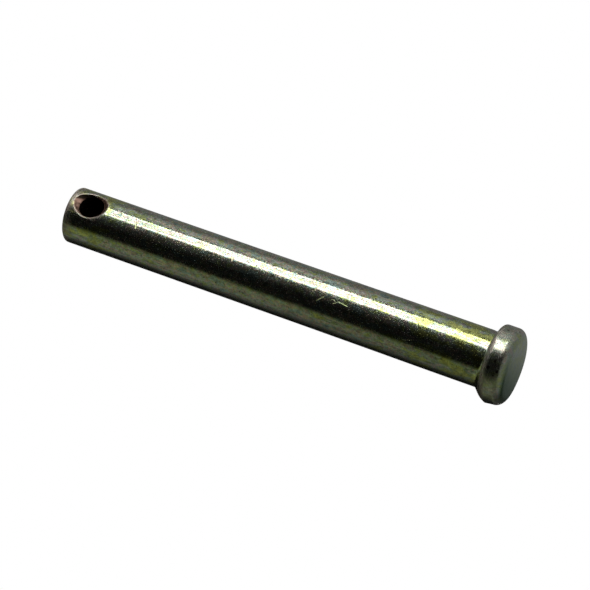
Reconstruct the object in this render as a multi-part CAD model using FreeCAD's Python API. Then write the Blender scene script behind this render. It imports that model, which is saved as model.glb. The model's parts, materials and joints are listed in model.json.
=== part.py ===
import FreeCAD, Part
import math
import os

# Clevis pin: a round steel pin, headed cold from bar, cross-drilled near its free end for a
# cotter, and plated. It is one piece of metal. All sizes are in millimetres.
# It stands on its head: the origin is the centre of the head's flat face, +Z runs along
# the shank to the free end, and the cross hole lies along Y.

# Shank
shank_diameter = 12.7
shank_length = 101.6            # from the head's seat to the free end
tip_edge_radius = 0.6           # rounding of the free end's edge

# Head
head_diameter = 17.1
head_thickness = 5.3
face_edge_radius = 2.1          # upset rounding between the rim and the flat face
seat_edge_radius = 1.0          # smaller rounding between the rim and the seat
neck_radius = 0.6               # fillet where the shank leaves the seat

# Cross hole
hole_diameter = 5.6
countersink_width = 1.2         # how far the mouth reaches beyond the bore, at the crown
countersink_angle = 90.0        # full angle of the cone, in degrees
lip_radius = 0.4                # rounded lip where the cone runs out of the shank
end_land = 0.55                 # strip of shank left between the mouth and the end's rounding

# Sizes worked out from those above
shank_radius = shank_diameter / 2
head_radius = head_diameter / 2
overhang = head_radius - shank_radius
tip_z = head_thickness + shank_length
mouth_radius = hole_diameter / 2 + countersink_width
hole_z = tip_z - tip_edge_radius - end_land - mouth_radius

# A rounding can't be larger than the metal that carries it: it takes at most this share
largest_share = 0.46
face_edge = min(face_edge_radius, largest_share * head_thickness)
seat_edge = min(seat_edge_radius, largest_share * head_thickness, largest_share * overhang)
neck = min(neck_radius, largest_share * overhang)

Z_AXIS = FreeCAD.Vector(0, 0, 1)
Y_AXIS = FreeCAD.Vector(0, 1, 0)
ORIGIN = FreeCAD.Vector(0, 0, 0)


def corner(centre_r, centre_z, radius, middle_deg):
    """A quarter round of the profile, given by its centre and the direction of its middle."""
    points = []
    for turn in (-45, 0, 45):
        angle = math.radians(middle_deg + turn)
        points.append(FreeCAD.Vector(centre_r + radius * math.cos(angle), 0, centre_z + radius * math.sin(angle)))
    return Part.Arc(*points)


def joined(arcs, first, last):
    """The profile's wire: straight runs from first to last that join the arcs' ends."""
    edges = []
    here = first
    for arc in arcs:
        start, end = arc.StartPoint, arc.EndPoint
        if here.distanceToPoint(start) > here.distanceToPoint(end):
            start, end = end, start
        edges.append(Part.LineSegment(here, start).toShape())
        edges.append(arc.toShape())
        here = end
    edges.append(Part.LineSegment(here, last).toShape())
    edges.append(Part.LineSegment(last, first).toShape())
    return Part.Wire(edges)


def headed_blank():
    """Head and shank as one turned form: the half section, revolved about the pin's axis."""
    seat_z = head_thickness
    rounds = [
        corner(head_radius - face_edge, face_edge, face_edge, -45),
        corner(head_radius - seat_edge, seat_z - seat_edge, seat_edge, 45),
        corner(shank_radius + neck, seat_z + neck, neck, 225),
        corner(shank_radius - tip_edge_radius, tip_z - tip_edge_radius, tip_edge_radius, 45),
    ]
    section = joined(rounds, ORIGIN, FreeCAD.Vector(0, 0, tip_z))
    return Part.Face(section).revolve(ORIGIN, Z_AXIS, 360)


def hole_cutter():
    """The drill and both countersinks as one turned form about the hole's own axis."""
    bore = hole_diameter / 2
    slope = math.tan(math.radians(countersink_angle / 2))
    reach = shank_diameter                        # where the cutter ends, well clear of the metal
    cone_start = shank_radius - countersink_width / slope
    wide = bore + (reach - cone_start) * slope
    half = [(0, reach), (wide, reach), (bore, cone_start)]
    mirrored = [(r, -along) for r, along in reversed(half)]
    outline = [FreeCAD.Vector(r, along, 0) for r, along in half + mirrored]
    section = Part.Face(Part.makePolygon(outline + outline[:1]))
    cutter = section.revolve(ORIGIN, Y_AXIS, 360)
    cutter.translate(FreeCAD.Vector(0, 0, hole_z))
    return cutter


def mouth_edges(shape):
    """The edges where the countersinks run out of the shank: each lies on a cone and on the shank."""
    cones = []
    shank_edges = []
    for face in shape.Faces:
        if isinstance(face.Surface, Part.Cone):
            cones.append(face)
        elif isinstance(face.Surface, Part.Cylinder) and math.isclose(face.Surface.Radius, shank_radius):
            shank_edges += face.Edges
    return [edge for cone in cones for edge in cone.Edges if any(edge.isSame(other) for other in shank_edges)]


def clevis_pin():
    """The blank, cross-drilled and countersunk from both sides, with its lips rounded."""
    drilled = headed_blank().cut(hole_cutter())
    return drilled.makeFillet(lip_radius, mouth_edges(drilled))


pin = clevis_pin()
os.makedirs("parts", exist_ok=True)
pin.exportStep("parts/clevis_pin.step")
print("clevis_pin: solids", len(pin.Solids), "valid", pin.isValid(), "volume mm3", round(pin.Volume, 1))
box = pin.optimalBoundingBox(False)
print("height", round(box.ZLength, 3), "across the head", round(box.XLength, 3))
print("centre of the cross hole to the free end", round(tip_z - hole_z, 3))
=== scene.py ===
# %% [markdown]
# # A clevis pin in yellow chromate
#
# The pin is one piece of steel: a round shank, a head that was upset cold, and a cross
# hole with a countersunk mouth. It was plated with zinc and dipped in chromate, which
# leaves a thin film that shines yellow, green and pink. The CAD frame gives the sizes, so
# nothing here is fitted by eye. Each step says what the real thing is, how it could be
# made in Blender, and why this way was chosen.

# %% Load the frame
import json
import math
import random

import bmesh
import bpy
from mathutils import Matrix, Vector, noise


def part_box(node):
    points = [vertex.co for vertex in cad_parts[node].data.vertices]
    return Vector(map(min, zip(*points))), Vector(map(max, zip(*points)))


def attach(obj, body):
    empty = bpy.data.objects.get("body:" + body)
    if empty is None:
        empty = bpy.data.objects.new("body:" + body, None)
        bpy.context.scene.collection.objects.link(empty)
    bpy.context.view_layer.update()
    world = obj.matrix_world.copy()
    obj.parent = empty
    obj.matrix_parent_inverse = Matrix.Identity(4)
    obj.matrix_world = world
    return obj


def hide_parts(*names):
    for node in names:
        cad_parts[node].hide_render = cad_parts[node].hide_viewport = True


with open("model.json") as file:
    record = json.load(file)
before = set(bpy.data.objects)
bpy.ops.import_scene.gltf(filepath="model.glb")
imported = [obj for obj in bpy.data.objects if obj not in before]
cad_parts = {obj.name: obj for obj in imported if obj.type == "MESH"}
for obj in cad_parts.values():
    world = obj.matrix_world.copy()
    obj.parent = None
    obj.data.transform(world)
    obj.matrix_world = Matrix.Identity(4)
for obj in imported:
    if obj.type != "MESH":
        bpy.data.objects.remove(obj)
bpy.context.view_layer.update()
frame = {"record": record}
scene = bpy.context.scene
MM = 0.001


def in_mm(place):
    return [round(value / MM, 2) for value in place]


def placed(name, data):
    """A new object in the scene."""
    made = bpy.data.objects.new(name, data)
    scene.collection.objects.link(made)
    return made


# %% [markdown]
# ## Camera
#
# The photograph looks at the pin from the head's side, a little off square to the shank,
# with a long lens. The pin stands on its head here, so the same view is taken from below
# the floor, rolled onto its side. A camera can be aimed by a constraint or by a matrix. A
# matrix is used, because azimuth, elevation and roll can then be written as they are.

# %% Camera
VIEW_AZIMUTH = -31.8            # degrees, where 0 looks along +Y
VIEW_ELEVATION = -18.36
VIEW_ROLL = 70.62
VIEW_DISTANCE = 529.8 * MM
AIM = Vector((-0.286, 0.835, 51.765)) * MM
LENS_MM = 148.8
SENSOR_MM = 36
CLIP_START, CLIP_END = 0.01, 10         # in metres


def direction(azimuth, elevation):
    """Unit vector from the pin towards a place at this azimuth and elevation, in degrees."""
    a, e = math.radians(azimuth), math.radians(elevation)
    return Vector((math.sin(a) * math.cos(e), -math.cos(a) * math.cos(e), math.sin(e)))


# A camera on its side, aimed at a point near the middle of the pin
camera = placed("camera", bpy.data.cameras.new("camera"))
back = direction(VIEW_AZIMUTH, VIEW_ELEVATION)
level_right = Vector((0, 0, 1)).cross(back).normalized()
level_up = back.cross(level_right)
roll = math.radians(VIEW_ROLL)
up = level_up * math.cos(roll) + level_right * math.sin(roll)
right = up.cross(back)
turn = Matrix((right, up, back)).transposed().to_4x4()
camera.matrix_world = Matrix.Translation(AIM + back * VIEW_DISTANCE) @ turn
camera.data.sensor_width = SENSOR_MM
camera.data.lens = LENS_MM
camera.data.clip_start = CLIP_START
camera.data.clip_end = CLIP_END
scene.camera = camera
print("camera at, mm:", in_mm(camera.location))

# %% [markdown]
# ## Sizes
#
# Every length comes from the frame: the measured mounts give the shank, the bore and the
# seat, and the node's box gives the head's width and the whole length. Only the roundings
# that no mount measures are written here. The mesh is worked out in millimetres and
# becomes metres at the end, because small whole numbers are easier to read.

# %% Sizes, in millimetres
mounts = {mount["name"]: mount for mount in frame["record"]["mounts"]}
box_low, box_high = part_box("clevis_pin")

shank_mount = mounts["shank"]
hole_mount = mounts["cotter_hole"]
shank_middle = shank_mount["pos_m"][2] / MM
half_wall = shank_mount["dims"]["length_mm"] / 2

SHANK_R = shank_mount["dims"]["r_mm"]
HEAD_R = box_high.x / MM
SEAT_Z = mounts["seat"]["pos_m"][2] / MM
TIP_Z = box_high.z / MM
WALL_LOW = shank_middle - half_wall      # where the plain round wall starts and ends
WALL_HIGH = shank_middle + half_wall
NECK_ROUND = WALL_LOW - SEAT_Z
TIP_ROUND = TIP_Z - WALL_HIGH
HOLE_Z = hole_mount["pos_m"][2] / MM
BORE_R = hole_mount["dims"]["r_mm"]
CONE_FOOT = hole_mount["dims"]["length_mm"] / 2    # from the pin's axis to the foot of the cone
FACE_ROUND = 2.1
SEAT_ROUND = 1.0
LIP_ROUND = 0.4
print(f"shank {2 * SHANK_R:.2f} x {TIP_Z - SEAT_Z:.2f}, head {2 * HEAD_R:.2f} x {SEAT_Z:.2f}")
print(f"bore {2 * BORE_R:.2f} at z {HOLE_Z:.2f}, neck {NECK_ROUND:.2f}, tip {TIP_ROUND:.2f}")

# %% [markdown]
# ## Skin of the pin
#
# The surface is glossy, so a reflection shows every facet and every pinched normal. The
# CAD node's triangles are long slivers, which is fine for a solid but can't take dents.
# A subdivision surface would round the crisp mouth of the hole away. So the skin is laid
# as rings of small, nearly square faces, and the cross hole is set into it as a patch.
#
# The point list grows ring by ring. Each point also keeps how much its plating is worn or
# built up as on an edge, which the finish reads later.

# %% Points, faces and rings
COLUMNS = 128
TURNS = [2 * math.pi * k / COLUMNS for k in range(COLUMNS)]
points = []          # (x, y, z) in millimetres
edge_values = []     # 0 on open surfaces, up to 1 on edges
faces = []           # (corners, finish)


def add_ring(ring, edge=0.0):
    """Adds a loop of points, with one edge value or one for each, and returns their numbers."""
    first = len(points)
    points.extend(ring)
    edge_values.extend(edge if isinstance(edge, list) else [edge] * len(ring))
    return list(range(first, len(points)))


def bridge(outer, inner, finish="film", skip=()):
    """Faces between two loops of as many points, apart from the columns to skip."""
    count = len(outer)
    for k in range(count):
        if k not in skip:
            nxt = (k + 1) % count
            faces.append(((outer[k], outer[nxt], inner[nxt], inner[k]), finish))


def between(start, end, share):
    return start + (end - start) * share


def steps(start, end, spacing):
    """Evenly spaced values from start to end, no further apart than spacing."""
    count = max(1, math.ceil(abs(end - start) / spacing - 1e-6))
    return [between(start, end, k / count) for k in range(count + 1)]


def around(r, turn, z):
    """A point from its distance to the axis, its direction round it and its height."""
    return (r * math.cos(turn), r * math.sin(turn), z)


def round_ring(r, z, edge=0.0):
    return add_ring([around(r, turn, z) for turn in TURNS], edge)


def quarter(centre_r, centre_z, radius, start, end, count):
    """Points (r, z) of a rounding, from one direction to another in degrees."""
    turns = [math.radians(between(start, end, k / count)) for k in range(count + 1)]
    return [(centre_r + radius * math.cos(t), centre_z + radius * math.sin(t)) for t in turns]


# %% [markdown]
# ### Head
#
# A head that is upset cold in a die is never quite true. This one sits a little off the
# shank's axis, and on that side the metal didn't fill the die's corner: seat, fillet and
# rim run into one slope there. So no single outline is spun: the half section is worked
# out anew in each direction round the pin, as a mix of the true outline and that slope.

# %% Head
LENS_SIDE = math.radians(VIEW_AZIMUTH - 90)     # the camera's side, as an angle from +X
SLACK_SIDE = LENS_SIDE - math.radians(90)       # the side to which the head sits off centre
SLACK_WAY = (math.cos(SLACK_SIDE), math.sin(SLACK_SIDE), 0)
SLOPE_LOW = 3.8                                 # where the slope starts on the rim
SLOPE_HIGH = 6.9                                # and where it ends on the shank
BULGE_OUT, BULGE_UP = 0.176, 0.132              # how far it stands out between them
SLOPE_SHARE = 0.92                              # how much of the true outline it replaces
RIM_DRAFT = 0.22                                # how much the rim there widens up to the slope
RIM_FLATS = ((2, 0.030, 0.6), (3, 0.020, 2.0), (5, 0.055, 0.15))    # lobes, height, phase
DISC_R = 5.6                                    # flat middle of the face, laid as a patch
FACE_RING = 0.3                                 # a ring's place between the patch and the rounding
FACE_EDGE, SEAT_EDGE, SEAT_WEAR = 0.15, 0.8, 0.1    # edge values of both roundings and the seat
FACE_STEPS, RIM_STEPS, SEAT_STEPS, NECK_STEPS = 13, 6, 9, 8


def head_section(angle):
    """(r, z, edge) from the flat face outwards, round the rim and up to the shank's wall."""
    slack = SLOPE_SHARE * (0.5 + 0.5 * math.cos(angle - SLACK_SIDE)) ** 3
    turn = angle - LENS_SIDE
    rim = HEAD_R + sum(rise * math.sin(lobes * turn + phase) for lobes, rise, phase in RIM_FLATS)
    flat_r = rim - FACE_ROUND
    section = [(r, 0.0, 0.0) for r in (DISC_R, between(DISC_R, flat_r, FACE_RING), flat_r)]
    face_round = quarter(flat_r, FACE_ROUND, FACE_ROUND, -90, 0, FACE_STEPS)
    section += [(r, z, FACE_EDGE) for r, z in face_round[1:]]
    true_top = SEAT_Z - SEAT_ROUND
    rim_top = between(true_top, SLOPE_LOW, slack)
    for k in range(1, RIM_STEPS):
        share = k / RIM_STEPS
        section.append((rim + RIM_DRAFT * slack * share, between(FACE_ROUND, rim_top, share), 0.0))
    seat_r, neck_r = rim - SEAT_ROUND, SHANK_R + NECK_ROUND
    seat_round = quarter(seat_r, true_top, SEAT_ROUND, 0, 90, SEAT_STEPS)
    neck_round = quarter(neck_r, WALL_LOW, NECK_ROUND, 270, 180, NECK_STEPS)
    corner = [(r, z, SEAT_EDGE) for r, z in seat_round]
    corner.append(((seat_r + neck_r) / 2, SEAT_Z, SEAT_WEAR))
    corner += [(r, z, 0.0) for r, z in neck_round]
    for k, (r, z, edge) in enumerate(corner):
        share = k / (len(corner) - 1)
        bulge = math.sin(math.pi * share)
        slope_r = between(rim + RIM_DRAFT, SHANK_R, share) + BULGE_OUT * bulge
        slope_z = between(SLOPE_LOW, SLOPE_HIGH, share) + BULGE_UP * bulge
        section.append((between(r, slope_r, slack), between(z, slope_z, slack), edge * (1 - slack)))
    return section


def head_rings():
    """Rings of the head, each a list of point numbers, from the face to the shank."""
    sections = [head_section(turn) for turn in TURNS]
    rings = []
    for k, (_, _, edge) in enumerate(sections[0]):
        ring = []
        for turn, section in zip(TURNS, sections):
            r, z, _ = section[k]
            ring.append(around(r, turn, z))
        rings.append(add_ring(ring, edge))
    return rings


head = head_rings()
for lower, upper in zip(head, head[1:]):
    bridge(lower, upper)
print("head:", len(head), "rings of", COLUMNS, "points")

# %% [markdown]
# ### Flat ends
#
# A fan of triangles would meet in one point, where a shiny face shows a star. A square
# grid bent into a disc has good faces everywhere, and its border has four times as many
# points as the grid has steps, so it joins the rings with nothing left over.

# %% Flat ends
GRID = COLUMNS // 4


def disc(border, radius, z, facing_up):
    """A flat disc inside a ring: a square grid of points, bent so that its border is round."""
    numbers = {}
    for i in range(GRID + 1):
        for j in range(GRID + 1):
            a, b = 2 * i / GRID - 1, 2 * j / GRID - 1
            if abs(a) >= abs(b):
                reach = a
                turn = math.pi / 4 * (b / a if a else 0)
            else:
                reach = b
                turn = math.pi / 2 - math.pi / 4 * a / b
            x, y, _ = place = around(reach * radius, turn, z)
            if i in (0, GRID) or j in (0, GRID):
                column = round(math.atan2(y, x) / (2 * math.pi) * COLUMNS)
                numbers[i, j] = border[column % COLUMNS]
            else:
                numbers[i, j] = add_ring([place])[0]
    for i in range(GRID):
        for j in range(GRID):
            corners = (numbers[i, j], numbers[i + 1, j], numbers[i + 1, j + 1], numbers[i, j + 1])
            faces.append((corners if facing_up else corners[::-1], "film"))


disc(head[0], DISC_R, 0.0, facing_up=False)
print("face disc:", GRID, "x", GRID, "cells")

# %% [markdown]
# ### Shank
#
# The wall is a plain grid of rings up to the free end, which is cropped and tumbled, so
# its edge is lightly rounded. Two windows are left open in the grid where the cross hole
# comes out, and their borders are kept for the next step.

# %% Shank
SPACING = 0.31                             # between the rings
WINDOW_COLUMNS = 14                        # half the width of a window, in columns
WINDOW_HALF = 4.35                         # half its height
MOUTHS = {-1: 3 * COLUMNS // 4, 1: COLUMNS // 4}     # column at each mouth, by the sign of Y
END_WEAR = 1.0                             # how worn the edge of the free end is
END_WEAR_RUN = 2.4                         # how far that wear reaches down the wall
TIP_STEPS = 8
TIP_FLAT_R = SHANK_R - TIP_ROUND - 0.4     # flat end, laid as a patch


def end_wear(z):
    """How worn the wall is at this height, more towards the free end."""
    return END_WEAR * max(0.0, 1 - (WALL_HIGH - z) / END_WEAR_RUN)


plain_z = steps(SLOPE_HIGH, HOLE_Z - WINDOW_HALF, SPACING)
window_z = steps(HOLE_Z - WINDOW_HALF, HOLE_Z + WINDOW_HALF, SPACING)
wall = [head[-1]]
wall += [round_ring(SHANK_R, z) for z in plain_z[1:]]
window_start = len(wall) - 1
wall += [round_ring(SHANK_R, z, end_wear(z)) for z in window_z[1:]]
window_end = len(wall) - 1
tip_round = quarter(SHANK_R - TIP_ROUND, WALL_HIGH, TIP_ROUND, 0, 90, TIP_STEPS)
tip = [round_ring(r, z, END_WEAR) for r, z in tip_round]
tip.append(round_ring(TIP_FLAT_R, TIP_Z))

for k, (lower, upper) in enumerate(zip(wall, wall[1:])):
    open_columns = set()
    if window_start <= k < window_end:
        for middle in MOUTHS.values():
            open_columns.update(range(middle - WINDOW_COLUMNS, middle + WINDOW_COLUMNS))
    bridge(lower, upper, skip=open_columns)
for lower, upper in zip([wall[-1]] + tip, tip):
    bridge(lower, upper)
disc(tip[-1], TIP_FLAT_R, TIP_Z, facing_up=True)
print("shank:", len(wall), "rings, window rows", window_start, "to", window_end)

# %% [markdown]
# ### Cross hole
#
# The drill leaves a straight bore and the countersink a cone, and where the cone runs out
# of a round bar its edge is a saddle: high at the sides, low at the ends. Cutting this with
# a Boolean modifier leaves long, thin faces round the edge, which reflect badly. The patch
# is worked out instead. In each direction from the hole's axis the metal's height is the
# lower of two curves, the round bar and the cone, and a smooth minimum of the two gives
# the rounded lip. Rings follow from the square window to the lip, down the cone and
# through the bore, where the patches of both sides meet.

# %% Cross hole
LIP_STEPS = (1.0, 0.55, 0.2, -0.2, -0.55, -1.0)
LIP_BARE = -0.3                           # inwards of this the lip is as brown as the cone
BLEND_STEPS = (0.3, 0.6, 0.85)
BLEND_EDGES = (0.0, 0.15, 0.5)
CONE_TOP = CONE_FOOT - BORE_R             # the cone's height at the hole's axis, if it went on
CONE_STEPS = 5
EDGE_BREAK = 0.1                          # size of the bore's own edge, where the cone starts
CONE_END = BORE_R + 0.07                  # radius of the cone's last ring above that edge
EDGE_RINGS = ((0.02, -0.01), (0.0, -EDGE_BREAK))    # past the bore's radius and the cone's foot
BORE_EDGE = 0.6                           # edge value there
BORE_STEPS = 16


def lip(turn):
    """Radius of the lip in one direction round the hole, its reach and its rounding width."""
    flat = math.cos(turn) ** 2
    a, b, c = 1 + flat, 2 * CONE_TOP, CONE_TOP ** 2 - SHANK_R ** 2
    radius = (-b + math.sqrt(b * b - 4 * a * c)) / (2 * a)
    fall = radius * flat / (CONE_TOP + radius)           # slope of the round bar there
    bend = math.radians(45) + math.atan(fall)
    reach = LIP_ROUND * math.tan(bend / 2) / math.sqrt(1 + fall * fall)
    return radius, reach, reach * (1 + fall)


def metal_height(radius, turn, width):
    """Height of the metal above the pin's axis: the smooth minimum of bar and cone."""
    x = radius * math.cos(turn)
    bar = math.sqrt(SHANK_R ** 2 - x * x)
    cone = CONE_TOP + radius
    share = min(1.0, max(0.0, 0.5 + 0.5 * (cone - bar) / width))
    return cone + (bar - cone) * share - width * share * (1 - share)


# %% Patches of the cross hole


def window_border(middle):
    """Numbers of the points round a window, anticlockwise as seen from outside."""
    left, right = middle - WINDOW_COLUMNS, middle + WINDOW_COLUMNS
    border = [wall[window_start][c % COLUMNS] for c in range(left, right)]
    border += [wall[r][right % COLUMNS] for r in range(window_start, window_end)]
    border += [wall[window_end][c % COLUMNS] for c in range(right, left, -1)]
    border += [wall[r][left % COLUMNS] for r in range(window_end, window_start, -1)]
    return border


def mouth(sign, middle):
    """One end of the cross hole, from its window to the middle of the bore."""
    border = window_border(middle)
    across = [SHANK_R * math.asin(points[n][0] / SHANK_R) for n in border]
    along = [points[n][2] - HOLE_Z for n in border]
    turns = [math.atan2(v, u) for u, v in zip(across, along)]
    lips = [lip(turn) for turn in turns]

    def add_loop(ring, edge, finish):
        """Adds a loop inside the last one, and the faces between them."""
        loop = add_ring(ring, edge)
        bridge(loops[-1], loop, finish)
        loops.append(loop)

    def add_places(places, edge, finish):
        """Adds a loop of a height and a radius in each direction round the hole."""
        ring = []
        for turn, (y, radius) in zip(turns, places):
            ring.append((radius * math.cos(turn), sign * y, HOLE_Z + radius * math.sin(turn)))
        add_loop(ring, edge, finish)

    loops = [border]
    for share, edge in zip(BLEND_STEPS, BLEND_EDGES):
        ring = []
        for u, v, turn, (radius, reach, _) in zip(across, along, turns, lips):
            end_u = SHANK_R * math.asin((radius + reach) * math.cos(turn) / SHANK_R)
            end_v = (radius + reach) * math.sin(turn)
            at = between(u, end_u, share) / SHANK_R
            z = HOLE_Z + between(v, end_v, share)
            ring.append((SHANK_R * math.sin(at), sign * SHANK_R * math.cos(at), z))
        add_loop(ring, [max(edge, end_wear(z)) for _, _, z in ring], "film")
    for share in LIP_STEPS:
        places = []
        for turn, (radius, reach, width) in zip(turns, lips):
            r = radius + reach * share
            places.append((metal_height(r, turn, width), r))
        add_places(places, 1.0, "film" if share > LIP_BARE else "countersink")
    for k in range(1, CONE_STEPS + 1):
        radii = [between(radius - reach, CONE_END, k / CONE_STEPS) for radius, reach, _ in lips]
        add_places([(CONE_TOP + r, r) for r in radii], 0.0, "countersink")
    for r, y in EDGE_RINGS:
        add_places([(CONE_FOOT + y, BORE_R + r)] * len(turns), BORE_EDGE, "countersink")
    for y in steps(CONE_FOOT - EDGE_BREAK, 0.0, CONE_FOOT / BORE_STEPS)[1:]:
        add_places([(y, BORE_R)] * len(turns), 0.0, "bore")
    return len(loops)


for sign, middle in MOUTHS.items():
    print("mouth", sign, "rings:", mouth(sign, middle))

# %% [markdown]
# ### One closed mesh
#
# The list becomes a mesh, the two halves of the bore are welded, and points that the
# windows left unused go. A count of edges that don't have exactly two faces shows whether
# the skin is closed, which a printed part and a good bake both need.

# %% One closed mesh
FINISHES = ("film", "countersink", "bore")
WELD = 1e-4             # points closer than this are one, in millimetres

plated_mesh = bpy.data.meshes.new("plated_pin")
plated_mesh.from_pydata(points, [], [corners for corners, _ in faces])
plated_mesh.polygons.foreach_set("material_index", [FINISHES.index(finish) for _, finish in faces])
edge = plated_mesh.attributes.new("edge", "FLOAT", "POINT")
edge.data.foreach_set("value", edge_values)
skin = bmesh.new()
skin.from_mesh(plated_mesh)
loose = [v for v in skin.verts if not v.link_faces]
bmesh.ops.delete(skin, geom=loose, context="VERTS")
bmesh.ops.remove_doubles(skin, verts=skin.verts, dist=WELD)
bmesh.ops.recalc_face_normals(skin, faces=skin.faces)
print("open edges:", sum(len(e.link_faces) != 2 for e in skin.edges), "faces:", len(skin.faces))

# %% [markdown]
# ### Nicks
#
# Pins are tumbled and shipped loose, so they strike each other and carry short scored
# marks. A bump map could draw them, but a real groove also breaks the outline of a
# reflection and goes with the mesh. Each mark is a small groove with a raised burr on
# both sides. The faces under it are divided first, so that the groove has points to move.

# %% Nicks
# Degrees round from the camera's side, height over the seat in shank diameters, length,
# degrees off the pin's axis, half width, depth, and how far it is scored bare
SEEN_NICKS = (
    (3.7, 3.04, 2.4, -47, 0.13, 0.080, 1.0),
    (7.9, 2.62, 2.8, 8, 0.11, 0.055, 1.0),
    (5.7, 2.76, 1.3, -36, 0.12, 0.055, 0.8),
    (9.5, 2.80, 0.9, 30, 0.10, 0.040, 0.6),
    (18.4, 3.18, 2.8, -68, 0.12, 0.040, 0.35),
    (19.5, 3.67, 1.5, -66, 0.12, 0.045, 0.6),
    (8.8, 3.71, 1.8, -56, 0.09, 0.025, 0.2),
    (33.2, 3.61, 1.0, -79, 0.12, 0.045, 0.1),
    (27.5, 2.08, 1.3, 44, 0.13, 0.050, 0.5),
    (22.1, 4.26, 1.1, -82, 0.12, 0.045, 0.1),
    (5.6, 4.14, 1.4, 1, 0.08, 0.025, 0.3),
    (18.2, 6.64, 1.7, 71, 0.14, 0.060, 0.9),
    (36.0, 7.03, 1.2, 13, 0.10, 0.040, 0.0),
    (36.8, 0.63, 1.3, 17, 0.11, 0.045, 0.0),
    (26.8, 0.28, 1.0, 28, 0.13, 0.050, 0.4),
    (17.5, 1.29, 1.3, 80, 0.12, 0.045, 0.5),
    (33.0, 1.19, 0.8, 72, 0.11, 0.035, 0.1),
    (29.0, 1.70, 1.1, 55, 0.11, 0.035, 0.1),
    (27.0, 3.15, 0.9, 80, 0.10, 0.030, 0.1),
    (27.5, 4.82, 1.5, 62, 0.14, 0.050, 0.2),
    (19.0, 4.76, 0.9, 75, 0.12, 0.035, 0.4),
    (27.0, 5.70, 1.0, 70, 0.11, 0.035, 0.1),
    (-15.0, 1.33, 1.6, -12, 0.11, 0.040, 0.4),
    (-19.0, 1.42, 1.3, -10, 0.10, 0.035, 0.3),
    (-29.0, 0.72, 0.7, 14, 0.15, 0.050, 0.0),
    (-30.0, 1.94, 0.6, 60, 0.14, 0.045, 0.0),
)
HIDDEN_NICKS = 24
# Between which values the same numbers of a nick on the far side are drawn
NICK_RANGES = ((60, 300), (0.4, 6.9), (0.6, 2.2), (-90, 90), (0.09, 0.15), (0.03, 0.07), (0, 0.9))
NICK_SIDE = 2.6                 # how far a nick reaches to each side, in half widths
DIVISIONS = 3
SKIN_DEPTH = 0.05               # a face further in than this isn't on the round wall
# Where across a nick, in half widths, its parts start and end
GROOVE_START, GROOVE_SLOPE, GROOVE_FLOOR, GROOVE_BURR, GROOVE_END = -1.9, -1, 0.55, 1.1, 2.0
NEAR_BURR, FAR_BURR = 0.25, 0.3    # heights of its burrs, as shares of its depth


def all_nicks():
    """The marks that the photograph shows, and others of the same kind on the far side."""
    draw = random.Random(7)
    hidden = [tuple(draw.uniform(*limits) for limits in NICK_RANGES) for _ in range(HIDDEN_NICKS)]
    return list(SEEN_NICKS) + hidden


# %% Where a nick lies


def off_nick(co, nick):
    """Distance along and across a nick of a point of the shank, in millimetres."""
    turn, place, _, tilt, _, _, _ = nick
    angle = math.atan2(co.y, co.x) - LENS_SIDE - math.radians(turn)
    across = SHANK_R * math.remainder(angle, 2 * math.pi)
    along = co.z - SEAT_Z - place * 2 * SHANK_R
    c, s = math.cos(math.radians(tilt)), math.sin(math.radians(tilt))
    return along * c + across * s, across * c - along * s


def near(co, nick, margin):
    length, half_width = nick[2], nick[4]
    if abs(co.z - SEAT_Z - nick[1] * 2 * SHANK_R) > length / 2 + 3 * half_width + margin:
        return False
    lengthwise, sideways = off_nick(co, nick)
    return abs(lengthwise) < length / 2 + margin and abs(sideways) < NICK_SIDE * half_width + margin


def divide_under(nicks):
    """Divides the shank's faces under the nicks and sets the new points on the round wall."""
    chosen = []
    for face in skin.faces:
        middle = face.calc_center_median()
        on_wall = WALL_LOW < middle.z < WALL_HIGH and middle.xy.length > SHANK_R - SKIN_DEPTH
        if on_wall and any(near(middle, nick, SPACING) for nick in nicks):
            chosen.append(face)
    edges = {edge for face in chosen for edge in face.edges}
    made = bmesh.ops.subdivide_edges(skin, edges=list(edges), cuts=DIVISIONS, use_grid_fill=True)
    for item in made["geom_inner"]:
        if isinstance(item, bmesh.types.BMVert):
            item.co.xy = item.co.xy.normalized() * SHANK_R
    return len(chosen)


# %% How a nick is pressed in


def smooth(low, high, value):
    """A share that runs smoothly from 0 at low to 1 at high."""
    share = min(1.0, max(0.0, (value - low) / (high - low)))
    return share * share * (3 - 2 * share)


def groove(side):
    """Height across a nick, as a share of its depth: a long slope, a steep wall and a burr."""
    if side < GROOVE_SLOPE:
        return NEAR_BURR * smooth(GROOVE_START, GROOVE_SLOPE, side)
    if side < GROOVE_FLOOR:
        return between(NEAR_BURR, -1, (side - GROOVE_SLOPE) / (GROOVE_FLOOR - GROOVE_SLOPE))
    if side < GROOVE_BURR:
        return between(-1, FAR_BURR, (side - GROOVE_FLOOR) / (GROOVE_BURR - GROOVE_FLOOR))
    return FAR_BURR * (1 - smooth(GROOVE_BURR, GROOVE_END, side))


def press(nicks, scuff):
    """Presses the grooves in, raises their burrs, and keeps how bare each point is scored."""
    for v in skin.verts:
        if not WALL_LOW < v.co.z < WALL_HIGH:
            continue
        for nick in nicks:
            if not near(v.co, nick, 0):
                continue
            _, _, length, _, half_width, depth, bare = nick
            lengthwise, sideways = off_nick(v.co, nick)
            fade = max(0.0, 1 - (2 * lengthwise / length) ** 4)
            side = sideways / half_width
            v.co += Vector((v.co.x, v.co.y, 0)).normalized() * depth * fade * groove(side)
            v[scuff] = max(v[scuff], bare * fade * math.exp(-side * side))


scuff_layer = skin.verts.layers.float.new("scuff")
nicks = all_nicks()
print(len(nicks), "nicks on", divide_under(nicks), "divided faces")
press(nicks, scuff_layer)

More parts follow.
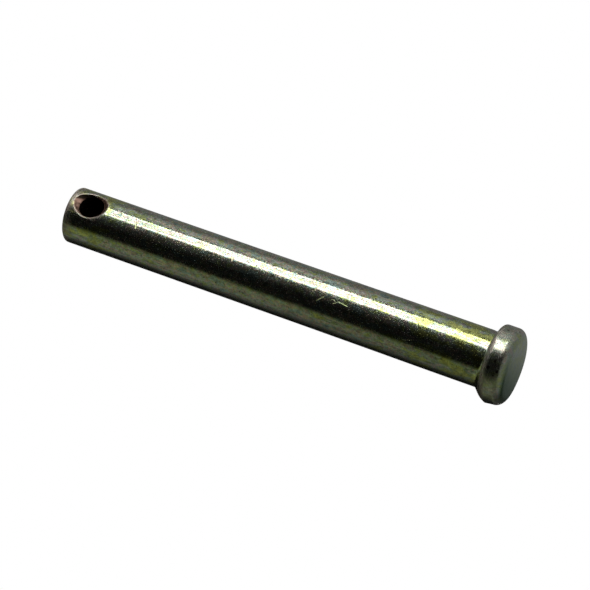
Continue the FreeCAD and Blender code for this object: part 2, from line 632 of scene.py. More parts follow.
# %% [markdown]
# ### Small untruths
#
# A mirror-true cylinder looks like a drawing. Drawn bar is a few hundredths of a
# millimetre out of round, the head sits off the axis, and the shears leave the free end a
# degree out of square. All of it is far below what a gauge on the mounts would notice,
# and it is what makes a reflection wander. Moving the points is kinder than a bump here,
# because the outline moves with them.

# %% Small untruths
WAVE = 0.010            # how far the bar is out of round
WAVE_ROUND = 3.2        # length of a wave round the bar, and along it
WAVE_ALONG = 14.0
SWELL = 0.09            # how much the shank swells under the head, on the slack side
SWELL_LOW, SWELL_HIGH = 10.0, 45.0
END_SLANT = 0.20        # how much longer the free end is on the side away from the slack
SLANT_START = HOLE_Z + 3.6    # height from which it leans
FACE_CROWN = 0.12       # how far the head's face falls back where its rounding starts
HEAD_OFFSET = 0.15      # how far the head sits off the shank's axis
OFFSET_FULL, OFFSET_END = SEAT_Z - 0.2, SLOPE_HIGH + 0.6     # heights between which that ends
WAVE_FULL_LOW, WAVE_FULL_HIGH = WALL_LOW + 2, WALL_HIGH - 1  # and where the waves are full


def settle(co):
    """Where a point of the true form lies on the real one."""
    r = math.hypot(co.x, co.y)
    if r < 1e-6:
        return co.copy()
    out = Vector((co.x / r, co.y / r, 0))
    on_wall = smooth(SEAT_Z, WAVE_FULL_LOW, co.z) * smooth(TIP_Z, WAVE_FULL_HIGH, co.z)
    wave = noise.noise(Vector((co.x / WAVE_ROUND, co.y / WAVE_ROUND, co.z / WAVE_ALONG)))
    side = math.cos(math.atan2(co.y, co.x) - SLACK_SIDE)
    swell = SWELL * (0.5 + 0.5 * side) * (1 - smooth(SWELL_LOW, SWELL_HIGH, co.z))
    moved = co + out * (WAVE * wave + swell) * on_wall
    head_share = 1 - smooth(OFFSET_FULL, OFFSET_END, co.z)
    moved += Vector(SLACK_WAY) * HEAD_OFFSET * head_share
    moved.z -= END_SLANT * side * r / SHANK_R * smooth(SLANT_START, TIP_Z, co.z)
    fall = max(0.0, 1 - co.z / FACE_ROUND)
    moved.z += FACE_CROWN * (r / (HEAD_R - FACE_ROUND)) ** 3 * fall * fall
    return moved


for v in skin.verts:
    v.co = settle(v.co)

# %% Hand the mesh over
bmesh.ops.scale(skin, verts=skin.verts, vec=(MM, MM, MM))
skin.to_mesh(plated_mesh)
skin.free()
plated_mesh.shade_smooth()
pin = placed("plated_pin", plated_mesh)
pin.data.calc_loop_triangles()
print("plated_pin:", len(pin.data.vertices), "points,", len(pin.data.loop_triangles), "triangles")

# %% [markdown]
# ## Finish
#
# Zinc is grey and bright. The chromate bath turns its outermost layer into a clear film
# about as thick as a wave of light is long, and the colour comes from that thickness:
# straw, green, teal and pink follow each other like the rings on an oil film. Each effect
# below is a node group with plain inputs, so that the plated outside, the countersink and
# the bore can use the same effects with their own values.

# %% Node helpers


def new_group(name, inputs, outputs):
    """An empty node group. Returns it with what it is given and what it puts out."""
    group = bpy.data.node_groups.new(name, "ShaderNodeTree")
    for label, default in inputs.items():
        socket = group.interface.new_socket(label, in_out="INPUT", socket_type="NodeSocketFloat")
        socket.default_value = default
    for label, kind in outputs.items():
        group.interface.new_socket(label, in_out="OUTPUT", socket_type="NodeSocket" + kind)
    given = group.nodes.new("NodeGroupInput").outputs
    return group, given, group.nodes.new("NodeGroupOutput").inputs


def feed(tree, socket, value):
    """Links an output to a socket, or writes a plain value on it."""
    if isinstance(value, bpy.types.NodeSocket):
        tree.links.new(value, socket)
    else:
        socket.default_value = value


def feed_by_order(tree, node, values):
    for socket, value in zip(node.inputs, values):
        feed(tree, socket, value)
    return node.outputs


def feed_by_name(tree, node, values):
    """Underscores in a name stand for spaces."""
    for label, value in values.items():
        feed(tree, node.inputs[label.replace("_", " ")], value)
    return node.outputs


def new_node(tree, kind, **values):
    """The outputs of a new shader node that is fed by name."""
    return feed_by_name(tree, tree.nodes.new("ShaderNode" + kind), values)


def use_group(tree, group, **values):
    """The outputs of a group that is placed in a tree and fed by name."""
    node = tree.nodes.new("ShaderNodeGroup")
    node.node_tree = group
    return feed_by_name(tree, node, values)


# %% Helpers for each kind of node


def math_node(tree, operation, *values, clamp=False):
    node = tree.nodes.new("ShaderNodeMath")
    node.operation = operation
    node.use_clamp = clamp
    return feed_by_order(tree, node, values)[0]


def times(tree, first, second):
    return math_node(tree, "MULTIPLY", first, second)


def line(tree, value, slope, start, clamp=False):
    """A value on a straight line: value times slope, plus start."""
    return math_node(tree, "MULTIPLY_ADD", value, slope, start, clamp=clamp)


def vector_node(tree, operation, *values, **named):
    node = tree.nodes.new("ShaderNodeVectorMath")
    node.operation = operation
    feed_by_order(tree, node, values)
    return feed_by_name(tree, node, named)


def ramp_value(tree, value, low, high, to_low=0.0, to_high=1.0):
    """A value that runs smoothly from to_low to to_high as another passes from low to high."""
    node = tree.nodes.new("ShaderNodeMapRange")
    node.interpolation_type = "SMOOTHSTEP"
    return feed_by_order(tree, node, (value, low, high, to_low, to_high))[0]


def mix_colour(tree, share, first, second):
    node = tree.nodes.new("ShaderNodeMix")
    node.data_type = "RGBA"
    for k, value in ((0, share), (6, first), (7, second)):
        feed(tree, node.inputs[k], value)
    return node.outputs[2]


def object_place(tree):
    """Where a point lies on its object, in metres."""
    return new_node(tree, "TexCoord")["Object"]


# %% [markdown]
# ### Where a point lies
#
# The patterns need millimetres, and each has its own scale along the pin and across it.
# One group turns object coordinates, which are metres, into a stretched place for a noise.
# A UV map would tie the patterns to an unwrapping, with a seam. A pattern in space has
# none, and it crosses from the shank to the head and into the hole without a break.

# %% Group: place
PLACE, given, out = new_group("place on the pin", {"Across": 1.0, "Along": 1.0, "Shift": 0.0},
                              {"Place": "Vector", "Height": "Float"})
axes = new_node(PLACE, "SeparateXYZ", Vector=object_place(PLACE))
across = math_node(PLACE, "DIVIDE", 1 / MM, given["Across"])
along = math_node(PLACE, "DIVIDE", 1 / MM, given["Along"])
place = PLACE.nodes.new("ShaderNodeCombineXYZ")
for k, scale in enumerate((across, across, along)):
    stretched = times(PLACE, axes[k], scale)
    feed(PLACE, place.inputs[k], math_node(PLACE, "ADD", stretched, given["Shift"]))
feed(PLACE, out["Place"], place.outputs[0])
feed(PLACE, out["Height"], times(PLACE, axes["Z"], 1 / MM))


def noise_at(tree, across, along, shift, detail=2.0):
    """Noise of about this size in millimetres across and along the pin."""
    place = use_group(tree, PLACE, Across=across, Along=along, Shift=shift)["Place"]
    return new_node(tree, "TexNoise", Vector=place, Scale=1.0, Detail=detail)["Fac"]


def mottle(tree, noises):
    """Noises added up about their middle: size across and along, shift, detail and share."""
    total = 0.0
    for across, along, shift, detail, share in noises:
        off_middle = math_node(tree, "SUBTRACT", noise_at(tree, across, along, shift, detail), 0.5)
        total = line(tree, off_middle, share, total)
    return total


# %% [markdown]
# ### Chromate film
#
# The pins hang or tumble in the bath, so the film comes out in patches that run along the
# pin, and it is thinner at the ends, where the solution drains. The group works out one
# number, the thickness, from large patches, small mottling and fine grain. A single colour
# ramp then gives the tint. Mixing several coloured noises would also give patches, but
# they would meet in colours that a real film never shows.

# %% Group: chromate film
FILM_TINTS = (
    (0.00, (0.50, 0.53, 0.18)),      # straw green, where the film is thinnest
    (0.20, (0.43, 0.51, 0.22)),      # grass green
    (0.38, (0.41, 0.49, 0.34)),      # grey green
    (0.50, (0.38, 0.47, 0.42)),      # teal
    (0.62, (0.50, 0.46, 0.41)),      # pink grey
    (0.74, (0.55, 0.42, 0.35)),      # pink brown
    (0.86, (0.46, 0.52, 0.26)),      # second straw
    (1.00, (0.36, 0.47, 0.42)),      # second teal
)
PLAIN_ZINC = (0.435, 0.465, 0.385, 1)
FILM_PATCHES = ((2.0, 4.6, 11.0, 1.5, 2.6), (0.9, 1.4, 5.0, 2.5, 1.9), (0.26, 0.34, 23.0, 1.0, 0.7))
THIN_AT_HEAD = 34                    # how far up the shank the film is thinner
THIN_AT_TIP = (24, 4, 0.75)          # from and to how far below the tip it thins, and its share

FILM, given, out = new_group(
    "chromate film", {"Middle": 0.62, "Spread": 0.5, "Ends": 0.5, "Grey": 0.0}, {"Colour": "Color"})
height = use_group(FILM, PLACE)["Height"]
start, end, share = THIN_AT_TIP
near_head = ramp_value(FILM, height, SEAT_Z, SEAT_Z + THIN_AT_HEAD, 1.0, 0.0)
near_tip = ramp_value(FILM, height, TIP_Z - start, TIP_Z - end, 0.0, share)
ends = times(FILM, math_node(FILM, "ADD", near_head, near_tip), given["Ends"])
thickness = line(FILM, mottle(FILM, FILM_PATCHES), given["Spread"], given["Middle"])
thickness = math_node(FILM, "SUBTRACT", thickness, ends, clamp=True)
ramp = FILM.nodes.new("ShaderNodeValToRGB")
feed(FILM, ramp.inputs["Fac"], thickness)
stops = ramp.color_ramp.elements
for position, _ in FILM_TINTS[1:-1]:
    stops.new(position)
for stop, (_, tint) in zip(stops, FILM_TINTS):
    stop.color = (*tint, 1)
colour = mix_colour(FILM, given["Grey"], ramp.outputs["Color"], PLAIN_ZINC)
feed(FILM, out["Colour"], colour)
print("film tints:", len(FILM_TINTS))

# %% [markdown]
# ### Grain of the plating
#
# Under a lens the plating is smooth with small pits and blisters a few tenths of a
# millimetre wide, and drawn bar keeps faint lines along its length. Beside the bright
# streak they throw back sparks of light, and further away they vanish. They are too fine
# for the mesh, so they are heights for a Bump node. A pit also scatters light, so the
# group gives the pits as a mask for the roughness, the lines as one for the colour, and a
# mottled shade, because a film over a rough spot looks darker.

# %% Group: plating grain
SHADE_PATCHES = ((0.9, 1.5, 43.0, 2.0, 1.2), (0.30, 0.38, 47.0, 1.0, 1.3))

GRAIN, given, out = new_group(
    "plating grain", {"Fine": 1.0, "Pits": 1.0, "Lines": 1.0, "Swell": 1.0, "Contrast": 1.0},
    {"Height": "Float", "Pit": "Float", "Line": "Float", "Shade": "Float"})
fine = noise_at(GRAIN, 0.14, 0.18, 3.0, detail=1.0)
pit = ramp_value(GRAIN, noise_at(GRAIN, 0.20, 0.24, 37.0, detail=1.0), 0.50, 0.70)
drawn = ramp_value(GRAIN, noise_at(GRAIN, 0.20, 12.0, 17.0, detail=0.0), 0.60, 0.68)
swell = noise_at(GRAIN, 1.3, 3.5, 29.0, detail=1.0)
height = 0.0
for value, label in ((fine, "Fine"), (pit, "Pits"), (drawn, "Lines"), (swell, "Swell")):
    height = line(GRAIN, value, given[label], height)
shade = line(GRAIN, mottle(GRAIN, SHADE_PATCHES), given["Contrast"], 1.0)
for label, value in (("Height", height), ("Pit", pit), ("Line", drawn), ("Shade", shade)):
    feed(GRAIN, out[label], value)

# %% [markdown]
# ### Specks
#
# Dust in the bath and rust under the zinc leave single dark dots. Noise gives blots that
# touch, so the dots come from Voronoi cells: each cell has its own centre, and a random
# number says whether it holds a dot and how large that is.

# %% Group: specks
SPECKS, given, out = new_group("specks", {"Cell": 0.8, "Share": 0.3, "Radius": 0.25},
                              {"Speck": "Float"})
place = use_group(SPECKS, PLACE, Across=given["Cell"], Along=given["Cell"], Shift=7.0)["Place"]
cells = new_node(SPECKS, "TexVoronoi", Vector=place, Scale=1.0)
chance = new_node(SPECKS, "SeparateColor", Color=cells["Color"])
held = math_node(SPECKS, "LESS_THAN", chance[0], given["Share"])
radius = times(SPECKS, line(SPECKS, chance[1], 0.6, 0.4), given["Radius"])
dot = ramp_value(SPECKS, cells["Distance"], times(SPECKS, radius, 0.5), radius, 1.0, 0.0)
feed(SPECKS, out["Speck"], times(SPECKS, dot, held))

# %% [markdown]
# ### Plated outside
#
# The film is clear, so what shines is the zinc under it: the shader is a metal whose base
# colour is the film's tint. The shank, the head's rim and its face came out of the bath
# with different films, so each input of an effect has a value for each of the three zones,
# and masks by height blend them. The mesh's own values say where an edge carries more zinc
# and less film, and where a nick has scored it. A scored place scatters light, so there
# the roughness goes up, and the mark lights up even where no lamp is mirrored.

# %% Material: plated outside
EDGE_ZINC = (0.37, 0.315, 0.275, 1)
SCORED_ZINC = (0.70, 0.82, 0.38, 1)
SPECK_TINT = (0.10, 0.08, 0.06, 1)
# Painted shade: a dark green tint that darkens the head's face and rim towards the slack side
SIDE_SHADE_TINT = (0.025, 0.125, 0.035, 1)
GRAIN_DEPTH = 0.020 * MM
EDGE_WEAR = (0.36, 0.62, 0.40, 1.0)     # a noise's low and high, and how much an edge shows there
GLOSS = (0.3, 0.7, 0.10, 0.135)         # another's, and how rough the plain film is there
SEAT_BLEND = 0.4                 # how far below and above the seat the head's finish ends
FACE_BLEND = (0.35, 1.3)         # heights between which the face's finish gives way to the rim's
SIDE_SHADE_BLEND = (0.1, 0.8)       # and between which its painted side shade ends
SIDE_SHADE_REACH = 5                # how far either side of the axis that painted shade deepens
SIDE_SHADE_MOST = 0.92
# An input's values on the shank, on the head's rim and on its face
FILM_BY_ZONE = {"Middle": (0.66, 0.66, 0.38), "Spread": (0.92, 0.92, 0.30),
                "Ends": (0.50, 0, 0), "Grey": (0, 0.5, 0)}
GRAIN_BY_ZONE = {"Contrast": (1.2, 0.9, 0.4), "Fine": (0.10, 0, 0), "Pits": (0.07, 0, 0),
                 "Lines": (0.05, 0, 0)}
SPECKS_BY_ZONE = {"Cell": (1.0, 1.2, 1.0), "Radius": (0.26, 0.36, 0.26), "Share": (0.25, 0.5, 0)}


def new_material(name):
    """A metal. Returns its material, its tree and its shader's inputs."""
    material = bpy.data.materials.new(name)
    material.use_nodes = True
    shader = material.node_tree.nodes["Principled BSDF"].inputs
    shader["Metallic"].default_value = 1.0
    return material, material.node_tree, shader


def mesh_value(tree, name, output="Fac"):
    """A value that the mesh keeps at its points."""
    node = tree.nodes.new("ShaderNodeAttribute")
    node.attribute_name = name
    return node.outputs[output]


def bump(tree, height):
    """A normal bent by the grain, whose height of 1 is its depth in metres."""
    return new_node(tree, "Bump", Strength=1.0, Distance=GRAIN_DEPTH, Height=height)["Normal"]


def shade_side_mask(tree, centre, towards, start, full, most):
    """A mask that grows from a centre towards one side, where shade is painted."""
    off_centre = vector_node(tree, "SUBTRACT", object_place(tree), [v * MM for v in centre])
    reach = vector_node(tree, "DOT_PRODUCT", off_centre["Vector"], towards)["Value"]
    return ramp_value(tree, reach, start * MM, full * MM, 0.0, most)


def by_zone(tree, zones, table):
    """Each input of a table as one value, blended where the zones meet."""
    blended = {}
    for label, values in table.items():
        blended[label] = 0.0
        for mask, value in zip(zones, values):
            if value:
                blended[label] = line(tree, mask, value, blended[label])
    return blended


# %% Zones and effects of the plated outside
plated, tree, shader = new_material("plated outside")
height = use_group(tree, PLACE)["Height"]
on_head = ramp_value(tree, height, SEAT_Z - SEAT_BLEND, SEAT_Z + SEAT_BLEND, 1.0, 0.0)
on_face = ramp_value(tree, height, *FACE_BLEND, 1.0, 0.0)
on_shank = math_node(tree, "SUBTRACT", 1.0, on_head)
zones = (on_shank, math_node(tree, "SUBTRACT", on_head, on_face), on_face)
film = use_group(tree, FILM, **by_zone(tree, zones, FILM_BY_ZONE))
grain = use_group(tree, GRAIN, Swell=0.5, **by_zone(tree, zones, GRAIN_BY_ZONE))
specks = use_group(tree, SPECKS, **by_zone(tree, zones, SPECKS_BY_ZONE))
worn = ramp_value(tree, noise_at(tree, 1.3, 1.3, 61.0), *EDGE_WEAR)
edge = times(tree, mesh_value(tree, "edge"), worn)
scuff = mesh_value(tree, "scuff")
# Painted shade: the head's face and rim grow darker and greener towards the slack side
side_shade = shade_side_mask(tree, (0, 0, 0), SLACK_WAY, -SIDE_SHADE_REACH, SIDE_SHADE_REACH, SIDE_SHADE_MOST)
side_shade = times(tree, side_shade, ramp_value(tree, height, *SIDE_SHADE_BLEND, 1.0, 0.0))

# %% Colour and roughness of the plated outside
drawn_dark = line(tree, times(tree, grain["Line"], on_shank), -0.25, 1.0)
shade = times(tree, grain["Shade"], drawn_dark)
colour = vector_node(tree, "SCALE", film["Colour"], Scale=shade)["Vector"]
tints = ((side_shade, SIDE_SHADE_TINT), (times(tree, edge, 0.95), EDGE_ZINC),
         (specks["Speck"], SPECK_TINT), (scuff, SCORED_ZINC))
for mask, tint in tints:
    colour = mix_colour(tree, mask, colour, tint)
feed(tree, shader["Base Color"], colour)
rough = ramp_value(tree, noise_at(tree, 1.6, 4.0, 41.0), *GLOSS)
pitted = times(tree, grain["Pit"], on_shank)
for mask, added in ((edge, 0.40), (on_head, 0.13), (scuff, 0.38), (pitted, 0.20)):
    rough = line(tree, mask, added, rough)
feed(tree, shader["Roughness"], rough)
feed(tree, shader["Normal"], bump(tree, grain["Height"]))
print("plated outside:", len(tree.nodes), "nodes")

# %% [markdown]
# ### Inside the cross hole
#
# Little current reaches a hole, so the zinc is thin there, and the chromate dries over
# cutting marks as a coppery brown. The countersink keeps rings from the tool, and one side
# of it is painted near black as shade. The bore is painted near black as the shade deep in
# the hole, and it is dull. Both use one effect, the tool's rings, with a different pitch.

# %% Group: tool rings
TOOL_RINGS, given, out = new_group("tool rings", {"Pitch": 0.25, "Wobble": 0.3}, {"Ring": "Float"})
axes = new_node(TOOL_RINGS, "SeparateXYZ", Vector=object_place(TOOL_RINGS))
depth = times(TOOL_RINGS, math_node(TOOL_RINGS, "ABSOLUTE", axes["Y"]), 1 / MM)
depth = line(TOOL_RINGS, noise_at(TOOL_RINGS, 0.8, 0.8, 31.0), given["Wobble"], depth)
turns = math_node(TOOL_RINGS, "DIVIDE", depth, given["Pitch"])
wave = math_node(TOOL_RINGS, "SINE", times(TOOL_RINGS, turns, 2 * math.pi))
feed(TOOL_RINGS, out["Ring"], line(TOOL_RINGS, wave, 0.5, 0.5))

# %% Materials: countersink and bore
DARK_SIDE = math.radians(36)     # side of the mouth that is painted in shade, up from +X
DARK_WAY = (math.cos(DARK_SIDE), 0, math.sin(DARK_SIDE))
DARK_START, DARK_FULL = 2.2, 2.8     # how far from the hole's axis it starts, in millimetres
# Painted shade: near black on one side of the countersink, inside the mouth
CONE_SHADE_TINT = (0.020, 0.015, 0.010, 1)
SMOOTHER, ROUGHER = 0.06, 0.08   # how far the roughness goes below and above its middle


def hole_finish(name, pale, dark, pitch, roughness, patchy, cone_shade_most, glance=(1, 1, 1, 1)):
    """Brown chromate over tool marks in a pale and a dark tint, with painted shade on one side."""
    material, tree, shader = new_material(name)
    ring = use_group(tree, TOOL_RINGS, Pitch=pitch, Wobble=0.35)["Ring"]
    patches = noise_at(tree, 0.9, 1.3, 53.0, detail=3.0)
    share = line(tree, ring, -0.25, ramp_value(tree, patches, *patchy), clamp=True)
    colour = mix_colour(tree, share, (*dark, 1), (*pale, 1))
    cone_shade = shade_side_mask(tree, (0, 0, HOLE_Z), DARK_WAY, DARK_START, DARK_FULL, cone_shade_most)
    feed(tree, shader["Base Color"], mix_colour(tree, cone_shade, colour, CONE_SHADE_TINT))
    rough = ramp_value(tree, patches, 0.3, 0.7, roughness - SMOOTHER, roughness + ROUGHER)
    feed(tree, shader["Roughness"], rough)
    grain = use_group(tree, GRAIN, Fine=0.5, Pits=0.4, Lines=0.0, Swell=0.3)
    feed(tree, shader["Normal"], bump(tree, line(tree, ring, 0.5, grain["Height"])))
    # glance dims the reflection at grazing angles; for the bore it is painted shade
    shader["Specular Tint"].default_value = glance
    return material


countersink = hole_finish("browned countersink", pale=(0.50, 0.31, 0.24), dark=(0.14, 0.09, 0.06),
                          pitch=0.22, roughness=0.40, patchy=(0.30, 0.60), cone_shade_most=0.97)
# Painted shade: the bore's near-black tints and dim specular tint stand in for the shade deep in
# the hole
bore = hole_finish("bore in painted shade", pale=(0.018, 0.013, 0.010), dark=(0.008, 0.006, 0.005),
                   pitch=0.45, roughness=0.55, patchy=(0.35, 0.70), cone_shade_most=0.0,
                   glance=(0.02, 0.02, 0.02, 1))
for material in (plated, countersink, bore):
    pin.data.materials.append(material)
print("materials:", [material.name for material in pin.data.materials])

# %% [markdown]
# ## Stage
#
# A glossy part shows its surroundings more than its own colour, and a round bar mirrors
# the room at twice the angle from its own middle. So the photograph's bands on the shank
# say how bright the studio is in each direction: a light of four tubes with dark gaps,
# grey walls, and black cards beside them. Separate flats could stand there, but their
# edges would all be hard. One wall round the pin with a level kept at each of its points
# has hard and soft edges as needed. It is a light that only reflections see: it throws no
# light on the floor, and the camera looks through it.

# %% Levels of the wall
STAGE_RADIUS = 0.8
WALL_TOP = 70            # elevation at which the wall meets the ceiling, in degrees

# Degrees round from the camera's side, and the level there
TUBE_LEVEL, GAP_LEVEL = 4.4, 0.15
TUBE_GAPS = ((47.4, 50.8), (54.6, 58.0), (61.8, 65.2))
TUBE_EDGE = 0.2          # degrees over which a tube ends
WALL_LEVELS = [
    (-180, 0.004), (-140, 0.008), (-128, 0.02), (-118, 0.05), (-108, 0.095), (-96, 0.13),
    (-78, 0.16), (-57, 0.14), (-44, 0.006), (-2, 0.006), (5, 0.017), (15, 0.03), (25, 0.07),
    (35, 0.13), (40, 0.25), (41, 2.8), (43, TUBE_LEVEL),
    (70.4, TUBE_LEVEL), (70.6, 0.005), (76.5, 0.005), (78, 0.47), (92, 0.5),
    (99, 0.44), (107, 0.27), (116, 0.19), (150, 0.18), (179, 0.2), (180, 0.004),
]
for start, end in TUBE_GAPS:
    WALL_LEVELS += [(start - TUBE_EDGE, TUBE_LEVEL), (start, GAP_LEVEL),
                    (end, GAP_LEVEL), (end + TUBE_EDGE, TUBE_LEVEL)]
WALL_LEVELS.sort()

TUBES = (40.5, 71)       # where the light lies, and where the wall over it does
OVER_TUBES = (39.5, 72.5)
OVER_LEVEL = 0.6
TUBES_TOP = 28.5         # elevation of the light's top
LOW_SIDE = (-112, -43)   # the grey wall that lights the pin's lower band
# Elevation of a row, and the shares of their levels that the tubes and the low side have there
WALL_ROWS = (
    (0, 1.45, 1.02),
    (21.2, 1.15, 0.98),
    (23.2, 1.25, 1.25),
    (TUBES_TOP, 1.2, 1.4),
    (TUBES_TOP + 1.5, 1, 1.4),
    (WALL_TOP, 1, 1.4),
)
BLUE_LEVELS = ((-180, 1), (-125, 1), (-57, 0.62), (-43.9, 0.58), (-43, 1), (180, 1))
print("levels of the wall:", len(WALL_LEVELS))

# %% Levels of the ceiling, the pit and the mirrored floor
DARK_CEILING = (-50, 41)
CEILING_LEVEL, DARK_CEILING_LEVEL = 0.26, 0.06
PIT_LEVELS = (           # below the horizon, where reflections pass the floor's opening
    (-180, 0.19), (-178, 0.11), (-175, 0.055), (-160, 0.04), (-125, 0.05), (-108, 0.12),
    (-60, 0.13), (-45, 0.10), (-43, 0.006), (36, 0.01), (42, 0.42), (85, 0.42), (112, 0.24),
    (130, 0.22), (170, 0.22), (177, 0.22), (180, 0.19),
)
PIT_ROWS = (0, -12, -40, -43, -WALL_TOP)
PIT_LOW_ROW = 3          # the first row that has the pit floor's level
PIT_FLOOR = 0.20
FLOOR_LEVELS = (
    (-180, 0.30), (-179, 2.2), (-163, 2.2), (-158, 0.26), (-128, 0.24), (-100, 0.20),
    (-45, 0.12), (-43.5, 0.01), (20, 0.02), (38, 0.10), (41, 2.2), (71, 2.2), (73, 0.2),
    (92, 0.4), (112, 0.26), (150, 0.26), (180, 0.30),
)
OPENING_R = 26 * MM      # round the head, reflections pass the floor and see the pit
LIGHT_START_R = 0.07     # where the mirrored floor reaches its full level
BACK_START_R = 0.09      # and where it does behind the pin
BACK_END = -112
FLOOR_NEAR = 0.12        # the most that it has closer to the head
FLOOR_GLOW_DROP = 0.06 * MM
print("levels of the pit:", len(PIT_LEVELS), "and of the floor:", len(FLOOR_LEVELS))

# %% Painted studio


def level_at(table, angle):
    """The level at an angle, on straight lines between a table's entries."""
    for (a, low), (b, high) in zip(table, table[1:]):
        if a <= angle <= b:
            return between(low, high, (angle - a) / (b - a))
    return table[-1][1]


def bare_material(name):
    """A material with nothing but its output. Returns it, its tree and its surface socket."""
    material = bpy.data.materials.new(name)
    material.use_nodes = True
    material.node_tree.nodes.clear()
    out = material.node_tree.nodes.new("ShaderNodeOutputMaterial")
    return material, material.node_tree, out.inputs["Surface"]


# Gives off the colour that the mesh keeps at its points
STUDIO_GLOW, tree, surface = bare_material("studio glow")
feed(tree, surface, new_node(tree, "Emission", Color=mesh_value(tree, "glow", "Color"))[0])


def painted(name, table, rows, level):
    """A glowing sheet for reflections. rows are (radius, z), and level(angle, row) is its glow."""
    mesh = bpy.data.meshes.new(name)
    turns = sorted({angle for angle, _ in table} | set(range(-180, 181, 6)))
    places, glow = [], []
    for k, (radius, z) in enumerate(rows):
        for turn in turns:
            places.append(around(radius, LENS_SIDE + math.radians(turn), z))
            blue = level_at(BLUE_LEVELS, turn)
            tint = (0.8 + 0.2 * blue, 1, blue)
            glow.extend([level(turn, k) * share for share in tint] + [1.0])
    n = len(turns)
    quads = [(k * n + i, k * n + i + 1, (k + 1) * n + i + 1, (k + 1) * n + i)
             for k in range(len(rows) - 1) for i in range(n - 1)]
    mesh.from_pydata(places, [], quads)
    mesh.attributes.new("glow", "FLOAT_COLOR", "POINT").data.foreach_set("color", glow)
    mesh.materials.append(STUDIO_GLOW)
    sheet = placed(name, mesh)
    sheet.visible_camera = False
    sheet.visible_diffuse = False
    sheet.visible_transmission = False
    sheet.visible_shadow = False


def wall_rows(elevations):
    return [(STAGE_RADIUS, STAGE_RADIUS * math.tan(math.radians(angle))) for angle in elevations]


def inside(limits, turn):
    return limits[0] < turn < limits[1]


def wall_level(turn, row):
    elevation, *shares = WALL_ROWS[row]
    if inside(OVER_TUBES, turn) and elevation > TUBES_TOP:
        return OVER_LEVEL
    level = level_at(WALL_LEVELS, turn)
    for limits, share in zip((TUBES, LOW_SIDE), shares):
        if inside(limits, turn):
            level *= share
    return level


def ceiling_level(turn, row):
    return DARK_CEILING_LEVEL if inside(DARK_CEILING, turn) else CEILING_LEVEL


def pit_level(turn, row):
    return level_at(PIT_LEVELS, turn) if row < PIT_LOW_ROW else PIT_FLOOR


def mirrored_floor(turn, row):
    level = level_at(FLOOR_LEVELS, turn)
    at_head = row == 0 or (row == 1 and turn < BACK_END)
    return min(level, FLOOR_NEAR) if at_head else level


# The wall with its ceiling, the pit under the head, and what the floor mirrors
top = wall_rows([WALL_TOP])[0][1]
centre = 1e-4
radii = (OPENING_R, LIGHT_START_R, BACK_START_R, STAGE_RADIUS)
painted("studio_wall", WALL_LEVELS, wall_rows([row[0] for row in WALL_ROWS]), wall_level)
painted("studio_ceiling", WALL_LEVELS, [(STAGE_RADIUS, top), (centre, top)], ceiling_level)
painted("studio_pit", PIT_LEVELS, wall_rows(PIT_ROWS), pit_level)
painted("studio_pit_floor", PIT_LEVELS, [(STAGE_RADIUS, -top), (centre, -top)],
        lambda turn, row: PIT_FLOOR)
painted("studio_floor_glow", FLOOR_LEVELS, [(r, -FLOOR_GLOW_DROP) for r in radii], mirrored_floor)

# %% [markdown]
# ### Floor and light
#
# The pin stands on a pale floor that shows its shadow. The photograph's view comes from
# under that floor, so the floor is clear from behind, has an opening under the head's
# face, and casts no shadow of its own. Far from the pin it fades into white, so that no
# horizon shows. White light from all round keeps colours as they are written, and one soft
# lamp gives the shadow a side.

# %% Floor
FLOOR_GREY = (0.82, 0.82, 0.82, 1)
FLOOR_OPENING = 6.2 * MM
FLOOR_RADIUS = 3.0
FLOOR_DROP = 0.02 * MM
FADE_START, FADE_END = 0.12, 0.9      # where the floor fades into the white behind it


def mix_shader(tree, share, first, second):
    return feed_by_order(tree, tree.nodes.new("ShaderNodeMixShader"), (share, first, second))[0]


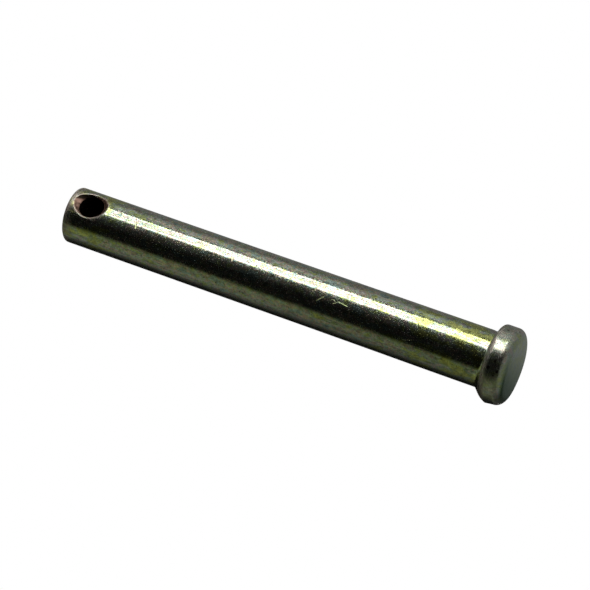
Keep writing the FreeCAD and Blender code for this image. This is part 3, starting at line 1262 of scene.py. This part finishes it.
def floor_material():
    """Matt from above, white far away for the camera alone, and clear from below."""
    material, tree, surface = bare_material("floor")
    distance = vector_node(tree, "LENGTH", object_place(tree))["Value"]
    far = ramp_value(tree, distance, FADE_START, FADE_END)
    far = times(tree, far, new_node(tree, "LightPath")["Is Camera Ray"])
    matt = new_node(tree, "BsdfDiffuse", Color=FLOOR_GREY)[0]
    white = new_node(tree, "Emission", Color=(1, 1, 1, 1))[0]
    clear = new_node(tree, "BsdfTransparent")[0]
    below = new_node(tree, "NewGeometry")["Backfacing"]
    feed(tree, surface, mix_shader(tree, below, mix_shader(tree, far, matt, white), clear))
    return material


mesh = bpy.data.meshes.new("floor")
sheet = bmesh.new()
for radius in (FLOOR_OPENING, FLOOR_RADIUS):
    bmesh.ops.create_circle(sheet, cap_ends=False, segments=96, radius=radius)
bmesh.ops.bridge_loops(sheet, edges=sheet.edges[:])
sheet.normal_update()
downward = [face for face in sheet.faces if face.normal.z < 0]
bmesh.ops.reverse_faces(sheet, faces=downward)
sheet.to_mesh(mesh)
sheet.free()
mesh.materials.append(floor_material())
plane = placed("floor", mesh)
plane.location.z = -FLOOR_DROP
plane.visible_glossy = False
plane.visible_shadow = False
print("floor: radius", FLOOR_RADIUS, "m, opening", FLOOR_OPENING / MM, "mm")

# %% Light
SKY_LEVEL = 0.7
LAMP_POWER = 6.0
LAMP_SIZE = 0.5
LAMP_SIDE = 70           # degrees round from the camera
LAMP_ELEVATION = 52
LAMP_DISTANCE = 0.9

# White for the camera and for reflections, a little less for what lights the floor
made = bpy.data.worlds.new("studio")
scene.world = made
made.use_nodes = True
tree = made.node_tree
background = tree.nodes["Background"].inputs
background["Color"].default_value = (1, 1, 1, 1)
path = new_node(tree, "LightPath")
strength = SKY_LEVEL
for ray in ("Is Camera Ray", "Is Glossy Ray", "Is Transmission Ray"):
    strength = math_node(tree, "MAXIMUM", strength, path[ray])
feed(tree, background["Strength"], strength)

# One soft lamp, which gives the shadow its side
lamp = placed("soft_lamp", bpy.data.lights.new("soft_lamp", "AREA"))
lamp.data.energy = LAMP_POWER
lamp.data.size = LAMP_SIZE
place = direction(VIEW_AZIMUTH + LAMP_SIDE, LAMP_ELEVATION) * LAMP_DISTANCE
lamp.location = place
lamp.rotation_euler = place.to_track_quat("Z", "Y").to_euler()
lamp.visible_glossy = False
lamp.visible_camera = False
scene.view_settings.view_transform = "Standard"

# %% Hand over to the frame
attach(pin, "root")
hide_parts("clevis_pin")
